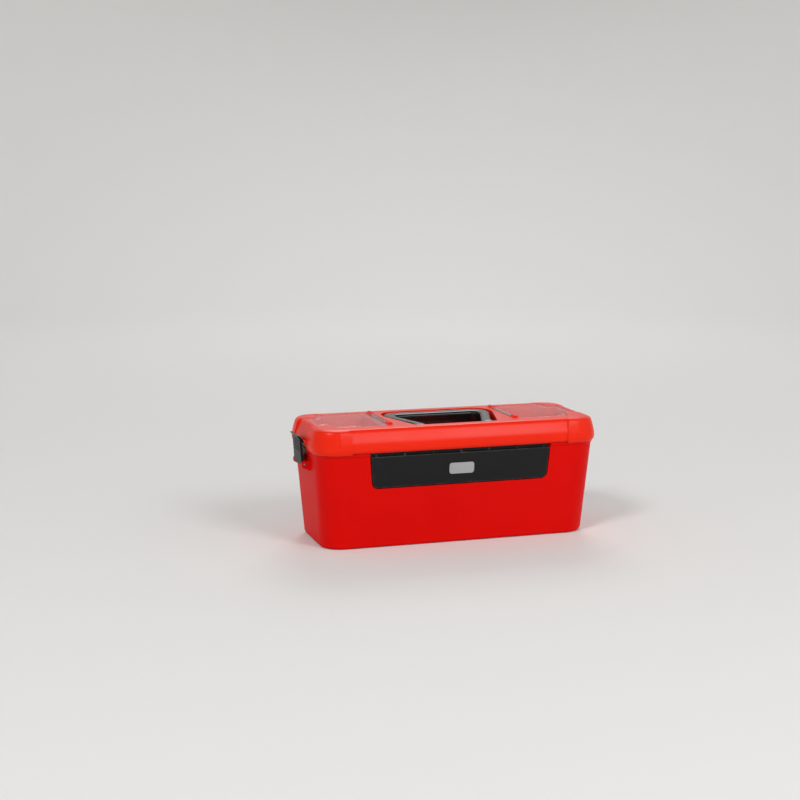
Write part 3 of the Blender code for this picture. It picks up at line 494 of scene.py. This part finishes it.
def rounded_mesh(mesh, name, width):
    """Rounds the edges of a mesh by a width in millimetres."""
    weigh_edges(mesh, mm(width))
    mesh.shade_smooth()
    item = bpy.data.objects.new(name, mesh)
    bpy.context.scene.collection.objects.link(item)
    split_wide_faces(item)
    bevel = item.modifiers.new("edges", "BEVEL")
    bevel.width = mm(width)
    bevel.segments = BEVEL_STEPS
    bevel.limit_method = "WEIGHT"
    bevel.use_clamp_overlap = False
    split_wide_faces(item)
    unfold(baked(item))
    weigh_normals(item, keep_sharp=True)
    result = baked(item)
    bpy.data.objects.remove(item)
    return result


def softened(node, name, width, material, body, slot):
    """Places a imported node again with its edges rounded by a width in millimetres."""
    place_piece(rounded_mesh(welded(node), name, width), name, material, body, slot, node)


softened("body_shell", "tub", 0.35, tub_red, "tub", "tub_red")
softened("lid_shell", "lid", 0.3, lid_red, "lid", "lid_red")
softened("front_panel", "panel", 0.5, panel_black, "tub", "black")
softened("badge_plate", "badge", 0.3, plate_grey, "tub", "badge_grey")
softened("handle", "arch_handle", 0.3, gloss_black, "carry_handle", "black")
for word in ("right", "left"):
    softened("cover_" + word, "clear_cover_" + word, 0.25, clear, word + "_cover", "clear")
    softened("latch_" + word, "hasp_" + word, 0.35, satin_black, word + "_latch", "black")
    softened("latch_pin_" + word, "hasp_wire_" + word, 0.2, steel, "tub", "steel")
    softened("handle_pin_" + word, "handle_wire_" + word, 0.25, steel, "lid", "steel")
    softened("cover_pin_" + word, "cover_wire_" + word, 0.2, steel, "lid", "steel")

# %% [markdown]
# ## A wall section carried round a rectangle
# The lift-out tray is one rule: the same wall section all the way round a rounded
# rectangle. It could be lofted by hand, but Geometry Nodes can follow the rule itself.
# A flat rounded rectangle is extruded once for each point of the section, and each time
# its rim moves to that point's inset and height. The direction of the inset is taken
# from the nearest corner centre, so corners stay round at every inset.

# %% One step of the wall


def geometry_tree(name, takes, gives):
    """New Geometry Nodes tree; takes and gives say the kind of each named socket."""
    made = bpy.data.node_groups.new(name, "GeometryNodeTree")
    for direction, sockets in (("INPUT", takes), ("OUTPUT", gives)):
        for word, kind in sockets.items():
            made.interface.new_socket(name=word, in_out=direction,
                                      socket_type="NodeSocket" + kind)
    return made


def wall_step_group():
    """Geometry Nodes group that extrudes the top face to one point of the section."""
    group = geometry_tree(
        "wall_step", {"Tray": "Geometry", "Top": "Bool", "Inset": "Float", "Height": "Float",
                      "Corner centre": "Vector", "Corner radius": "Float"},
        {"Tray": "Geometry", "Top": "Bool"})
    given = add_node(group, "NodeGroupInput").outputs
    step = add_node(group, "GeometryNodeExtrudeMesh", {
        "Mesh": given["Tray"], "Selection": given["Top"], "Offset Scale": 0.0,
        "Individual": False}, mode="FACES")
    here = add_node(group, "GeometryNodeInputPosition").outputs["Position"]
    far_corner = vector_maths(group, "SCALE", given["Corner centre"], -1.0)
    below = vector_maths(group, "MINIMUM", here, given["Corner centre"])
    nearest = vector_maths(group, "MAXIMUM", below, far_corner)
    spoke = vector_maths(group, "SUBTRACT", here, nearest)
    level = vector_maths(group, "MULTIPLY", spoke, (1.0, 1.0, 0.0))
    outward = vector_maths(group, "NORMALIZE", level)
    reach = maths(group, "SUBTRACT", given["Corner radius"], given["Inset"])
    plan = vector_maths(group, "ADD", nearest, vector_maths(group, "SCALE", outward, reach))
    parts = add_node(group, "ShaderNodeSeparateXYZ", {0: plan}).outputs
    target = add_node(group, "ShaderNodeCombineXYZ", {"X": parts["X"], "Y": parts["Y"],
                                                      "Z": given["Height"]})
    placed = add_node(group, "GeometryNodeSetPosition", {
        "Geometry": step.outputs["Mesh"], "Selection": step.outputs["Top"],
        "Position": target.outputs["Vector"]})
    add_node(group, "NodeGroupOutput", {"Tray": placed.outputs["Geometry"],
                                        "Top": step.outputs["Top"]})
    return group


wall_step = wall_step_group()
print("one wall step takes", len(wall_step.nodes), "nodes")

# %% [markdown]
# ## Wall section of the tray
# The tray is black moulded polypropylene with a flange that hangs it in the tub. Its
# section runs up the outside of the wall, out under the flange, over the flange's edge,
# back in and down to the floor. Each corner of the section has a radius of its own,
# because a mould's corners are rounded, and the one at the floor is the roundest.

# %% Wall section of the tray
tray_low, tray_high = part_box("tool_tray")
TRAY_DEPTH = tray_high.z - tray_low.z
TRAY_WALL = mm(2)
TRAY_DRAFT = math.radians(4.5)
TRAY_FLANGE = mm(4.3)
TRAY_FLANGE_THICK = mm(1.8)
TRAY_CORNER = mm(24)
TRAY_FOOT_IN = TRAY_FLANGE + TRAY_DEPTH * math.tan(TRAY_DRAFT)
TRAY_LIP_IN = mm(6.6)
FOOT_ROUND = mm(1.4)
FLANGE_ROUND = mm(0.5)
RIM_ROUND = mm(0.6)
LIP_ROUND = mm(0.7)
FLOOR_ROUND = mm(2.2)
UNDERSIDE_START = mm(3)
FLOOR_END = mm(4)
ARC_STEPS = 4


def rounded_line(points):
    """Polyline with an arc of the given radius at each inner (inset, height, radius)."""
    line = [Vector(points[0][:2])]
    for before, (inset, height, radius), after in zip(points, points[1:], points[2:]):
        here = Vector((inset, height))
        back = (Vector(before[:2]) - here).normalized()
        ahead = (Vector(after[:2]) - here).normalized()
        half = back.angle(ahead) / 2
        centre = here + (back + ahead).normalized() * (radius / math.sin(half))
        start = here + back * (radius / math.tan(half)) - centre
        sweep = start.angle_signed(here + ahead * (radius / math.tan(half)) - centre)
        for step in range(ARC_STEPS + 1):
            line.append(centre + Matrix.Rotation(-sweep * step / ARC_STEPS, 2) @ start)
    line.append(Vector(points[-1][:2]))
    return line


flange_under = TRAY_DEPTH - TRAY_FLANGE_THICK
floor_in = TRAY_FOOT_IN + TRAY_WALL
section = rounded_line((
    (TRAY_FOOT_IN + UNDERSIDE_START, 0.0, 0.0),
    (TRAY_FOOT_IN, 0.0, FOOT_ROUND),
    (TRAY_FLANGE, flange_under, FLANGE_ROUND),
    (0.0, flange_under, FLANGE_ROUND),
    (0.0, TRAY_DEPTH, RIM_ROUND),
    (TRAY_LIP_IN, TRAY_DEPTH, LIP_ROUND),
    (floor_in, TRAY_WALL, FLOOR_ROUND),
    (floor_in + FLOOR_END, TRAY_WALL, 0.0)))
print("the section has", len(section), "points")

# %% [markdown]
# ## Tray tree
# The tree fills a filleted rectangle, moves it to the first point of the section and
# keeps that face as the underside, turned over. Then it chains one wall step for every
# other point. The last face is the tray's floor. The sizes are inputs of the tree, so
# the same tree would make another tray of this kind.

# %% Tray tree
CORNER_POINTS = 10
SEAL_WITHIN = mm(0.002)

tree = geometry_tree(
    "tray_tree", {"Length": "Float", "Depth": "Float", "Corner radius": "Float",
                  "Middle": "Vector", "Plastic": "Material"}, {"Tray": "Geometry"})
given = add_node(tree, "NodeGroupInput").outputs
rectangle = add_node(tree, "GeometryNodeCurvePrimitiveQuadrilateral", {
    "Width": given["Length"], "Height": given["Depth"]})
filleted = add_node(tree, "GeometryNodeFilletCurve", {
    "Curve": rectangle.outputs["Curve"], "Count": CORNER_POINTS,
    "Radius": given["Corner radius"]}, mode="POLY")
sheet = add_node(tree, "GeometryNodeFillCurve", {"Curve": filleted.outputs["Curve"]},
                 mode="NGONS")
spans = add_node(tree, "ShaderNodeCombineXYZ", {"X": given["Length"], "Y": given["Depth"]})
halves = vector_maths(tree, "SCALE", spans.outputs["Vector"], 0.5)
corner = vector_maths(tree, "SUBTRACT", halves, given["Corner radius"])


def wall_step_node(tray, top, point):
    """Adds one wall step to the tray tree and returns its tray and its top."""
    inset, height = point
    step = add_node(tree, "GeometryNodeGroup", {
        "Tray": tray, "Top": top, "Inset": inset, "Height": height, "Corner centre": corner,
        "Corner radius": given["Corner radius"]}, node_tree=wall_step)
    return step.outputs["Tray"], step.outputs["Top"]


first, first_top = wall_step_node(sheet.outputs["Mesh"], True, section[0])
foot = add_node(tree, "GeometryNodeSeparateGeometry", {"Geometry": first, "Selection": first_top},
                domain="FACE").outputs["Selection"]
wall, top = foot, True
for point in section[1:]:
    wall, top = wall_step_node(wall, top, point)
underside = add_node(tree, "GeometryNodeFlipFaces", {"Mesh": foot})
both = add_node(tree, "GeometryNodeJoinGeometry", {"Geometry": underside.outputs["Mesh"]})
tree.links.new(wall, both.inputs["Geometry"])
sealed = add_node(tree, "GeometryNodeMergeByDistance", {"Geometry": both.outputs["Geometry"],
                                                        "Distance": SEAL_WITHIN})
placed = add_node(tree, "GeometryNodeSetPosition", {"Geometry": sealed.outputs["Geometry"],
                                                    "Offset": given["Middle"]})
smooth = add_node(tree, "GeometryNodeSetShadeSmooth", {"Geometry": placed.outputs["Geometry"]})
whole = add_node(tree, "GeometryNodeRealizeInstances", {"Geometry": smooth.outputs["Geometry"]})
dressed = add_node(tree, "GeometryNodeSetMaterial", {"Geometry": whole.outputs["Geometry"],
                                                     "Material": given["Plastic"]})
add_node(tree, "NodeGroupOutput", {"Tray": dressed.outputs["Geometry"]})
tray_tree = tree
print("the tray tree has", len(tray_tree.nodes), "nodes")

# %% [markdown]
# ## Growing a piece from a tree
# An empty object gets the tree as a modifier. The tree's inputs are set by their socket
# identifiers before anything is evaluated, because names are only labels. Weighted
# normals keep the flats flat, and the result is taken as a plain mesh.

# %% Growing a piece from a tree


def grown_mesh(tree, name, **sizes):
    """Mesh that a Geometry Nodes tree makes from inputs named in words_with_underscores."""
    item = bpy.data.objects.new(name, bpy.data.meshes.new(name))
    bpy.context.scene.collection.objects.link(item)
    step = item.modifiers.new("grow", "NODES")
    step.node_group = tree
    sockets = {socket.name.lower().replace(" ", "_"): socket.identifier
               for socket in tree.interface.items_tree if socket.in_out == "INPUT"}
    for word, value in sizes.items():
        step[sockets[word]] = value
    weigh_normals(item, keep_sharp=False)
    result = baked(item)
    bpy.data.objects.remove(item)
    return result


tray_size = tray_high - tray_low
tray_middle = (tray_high + tray_low) / 2
tray_middle.z = tray_low.z
tray_mesh = grown_mesh(tray_tree, "tray", length=tray_size.x, depth=tray_size.y,
                       corner_radius=TRAY_CORNER, middle=tray_middle, plastic=satin_black)
place_piece(tray_mesh, "tray", satin_black, "tray", "black", "tool_tray")

# %% [markdown]
# ## One row of grip bars
# A small hand opens the hasps by their upper ends, and such hasps have a few raised bars
# there for the fingertips. Bars that repeat at an even pitch are a job for instances: a
# line is swept with a circle that shrinks towards both ends, and one copy goes on each
# point of a second line. A high power keeps the circle full until close to the ends.

# %% One row of grip bars
BAR_POINTS = 25
BAR_SIDES = 16
END_POWER = 12.0
END_LEFT = 0.05

tree = geometry_tree(
    "grip_bar_tree", {"Count": "Int", "Pitch": "Float", "Half width": "Float",
                      "Radius": "Float", "Plastic": "Material"}, {"Bars": "Geometry"})
given = add_node(tree, "NodeGroupInput").outputs
right_end = add_node(tree, "ShaderNodeCombineXYZ", {"Y": given["Half width"]}).outputs["Vector"]
left_end = vector_maths(tree, "SCALE", right_end, -1.0)
line = add_node(tree, "GeometryNodeCurvePrimitiveLine", {"Start": left_end, "End": right_end})
finer = add_node(tree, "GeometryNodeResampleCurve", {"Curve": line.outputs["Curve"],
                                                     "Count": BAR_POINTS})
along = add_node(tree, "GeometryNodeSplineParameter").outputs["Factor"]
offset = maths(tree, "MULTIPLY_ADD", along, 2.0, -1.0)
left_over = maths(tree, "SUBTRACT", 1 + END_LEFT, maths(tree, "POWER", offset, END_POWER))
circle = add_node(tree, "GeometryNodeCurvePrimitiveCircle", {"Resolution": BAR_SIDES,
                                                             "Radius": given["Radius"]})
bar = add_node(tree, "GeometryNodeCurveToMesh", {
    "Curve": finer.outputs["Curve"], "Profile Curve": circle.outputs["Curve"],
    "Scale": maths(tree, "SQRT", left_over), "Fill Caps": True})
smooth = add_node(tree, "GeometryNodeSetShadeSmooth", {"Geometry": bar.outputs["Mesh"]})
up = add_node(tree, "ShaderNodeCombineXYZ", {"Z": given["Pitch"]})
rows = add_node(tree, "GeometryNodeMeshLine", {"Count": given["Count"],
                                               "Offset": up.outputs["Vector"]})
copies = add_node(tree, "GeometryNodeInstanceOnPoints", {"Points": rows.outputs["Mesh"],
                                                         "Instance": smooth.outputs["Geometry"]})
whole = add_node(tree, "GeometryNodeRealizeInstances", {"Geometry": copies.outputs["Instances"]})
dressed = add_node(tree, "GeometryNodeSetMaterial", {"Geometry": whole.outputs["Geometry"],
                                                     "Material": given["Plastic"]})
add_node(tree, "NodeGroupOutput", {"Bars": dressed.outputs["Geometry"]})
bar_tree = tree
print("the grip bar tree has", len(bar_tree.nodes), "nodes")

# %% [markdown]
# ## Grip bars on the hasps
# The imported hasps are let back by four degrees, so the bars lean with them. Each row is
# shifted out to the hasp's face and up, leaned, and moved to its hasp's hinge, which the
# part's record gives. The bars are half sunk in that face.

# %% Grip bars on the hasps
HASP_THICK = mm(3)
HASP_LEAN = math.radians(4)
BAR_COUNT = 4
BAR_PITCH = mm(3.6)
BAR_HALF_WIDTH = mm(12)
BAR_RADIUS = mm(0.8)
FIRST_BAR = mm(15)

joints = {joint["name"]: joint for joint in frame["record"]["behaviour"]["joints"]}
for word, side in (("right", 1), ("left", -1)):
    bars = grown_mesh(bar_tree, "grip_bars_" + word, count=BAR_COUNT, pitch=BAR_PITCH,
                      half_width=BAR_HALF_WIDTH, radius=BAR_RADIUS, plastic=satin_black)
    hinge = Vector(joints["latch_" + word + "_swing"]["pos_m"])
    bars.transform(Matrix.Translation(hinge) @ Matrix.Rotation(side * HASP_LEAN, 4, "Y")
                   @ Matrix.Translation((side * HASP_THICK, 0, FIRST_BAR)))
    place_piece(bars, "grip_bars_" + word, satin_black, word + "_latch", "black")

# %% [markdown]
# ## Studio
# The box stands in a plain pale dish: a round floor that curves up into a wall, so that
# no horizon shows from any side. The dish is one profile of radius and height, turned
# round the upright axis.

# %% Studio floor
FLOOR_RADIUS = 2.6
SWEEP_RADIUS = 1.2
SWEEP_STEPS = 12
WALL_HEIGHT = 3.0
AROUND = 96

profile = []
for step in range(SWEEP_STEPS + 1):
    angle = math.pi / 2 * step / SWEEP_STEPS
    profile.append((FLOOR_RADIUS + SWEEP_RADIUS * math.sin(angle),
                    SWEEP_RADIUS * (1 - math.cos(angle))))
profile.append((FLOOR_RADIUS + SWEEP_RADIUS, WALL_HEIGHT))
bm = bmesh.new()
rings = []
for radius, height in profile:
    rings.append([bm.verts.new((radius * math.cos(math.tau * i / AROUND),
                                radius * math.sin(math.tau * i / AROUND), height))
                  for i in range(AROUND)])
bm.faces.new(rings[0])
for lower, upper in zip(rings, rings[1:]):
    for i in range(AROUND):
        j = (i + 1) % AROUND
        bm.faces.new((lower[j], lower[i], upper[i], upper[j]))
for face in bm.faces:
    face.smooth = True
mesh = bpy.data.meshes.new("studio_floor")
bm.to_mesh(mesh)
bm.free()
floor = bpy.data.objects.new("studio_floor", mesh)
bpy.context.scene.collection.objects.link(floor)
print("floor is", 2 * FLOOR_RADIUS, "m across")

# %% [markdown]
# ## Studio paper
# The dish is matt, slightly warm paper. Its underside lets the camera through, which
# leaves the base of the box open to a look from below.

# %% Studio paper
paper, tree, shader = new_material("pale_studio_paper")
shader.inputs["Base Color"].default_value = colour("#E9E8E6")
shader.inputs["Roughness"].default_value = 0.9
shader.inputs["Specular IOR Level"].default_value = 0.1
under = add_node(tree, "ShaderNodeNewGeometry").outputs["Backfacing"]
empty = add_node(tree, "ShaderNodeBsdfTransparent")
both = add_node(tree, "ShaderNodeMixShader", {0: under, 1: shader.outputs["BSDF"],
                                              2: empty.outputs["BSDF"]})
tree.links.new(both.outputs["Shader"], tree.nodes["Material Output"].inputs["Surface"])
floor.data.materials.append(paper)
print("the floor's material is", paper.name)

# %% [markdown]
# ## Light
# A key lamp from the upper left front, a lower and broader one from the right front whose
# sheen runs along the edges, a weak fill from the right and one from behind, over an even
# pale sky, give each colour about its written value.

# %% Light
SKY_STRENGTH = 0.3
LAMP_AIM = Vector((0, 0, 0.08))

world = bpy.data.worlds.new("pale_sky")
bpy.context.scene.world = world
world.use_nodes = True
sky = world.node_tree.nodes["Background"]
sky.inputs["Color"].default_value = colour("#F2F4F6")
sky.inputs["Strength"].default_value = SKY_STRENGTH


def soft_lamp(name, place, size, power):
    """Round lamp, aimed at the box, with a size in metres and a power in watts."""
    lamp = bpy.data.lights.new(name, "AREA")
    lamp.shape = "DISK"
    lamp.size = size
    lamp.energy = power
    item = bpy.data.objects.new(name, lamp)
    bpy.context.scene.collection.objects.link(item)
    item.location = place
    item.rotation_euler = (LAMP_AIM - Vector(place)).to_track_quat("-Z", "Y").to_euler()
    print(name, "shines with", power, "W")


soft_lamp("key_from_left_front", (-2.1, -1.8, 2.7), size=1.0, power=44)
soft_lamp("sheen_from_right_front", (1.05, -2.45, 1.76), size=1.2, power=31)
soft_lamp("fill_from_right", (2.8, -1.6, 1.7), size=2.0, power=6)
soft_lamp("rim_from_behind", (0.9, 2.6, 2.3), size=1.6, power=28)

# %% [markdown]
# ## Camera
# The camera stands where the photograph's perspective puts it: nearly two metres away,
# turned to the box's left front and looking a little down.

# %% Camera
SENSOR_WIDTH = 36.0
LENS_LENGTH = 70.204
CAMERA_PLACE = (-0.59836, -1.72382, 0.44436)
DEGREES_DOWN = 8.92
DEGREES_TURNED = -17.53

lens = bpy.data.cameras.new("photo_camera")
lens.sensor_width = SENSOR_WIDTH
lens.lens = LENS_LENGTH
camera = bpy.data.objects.new("photo_camera", lens)
bpy.context.scene.collection.objects.link(camera)
camera.location = CAMERA_PLACE
camera.rotation_euler = (math.radians(90 - DEGREES_DOWN), 0, math.radians(DEGREES_TURNED))
bpy.context.scene.camera = camera
bpy.context.scene.view_settings.view_transform = "Standard"
print("camera is", round(camera.location.length, 2), "m from the middle of the base")
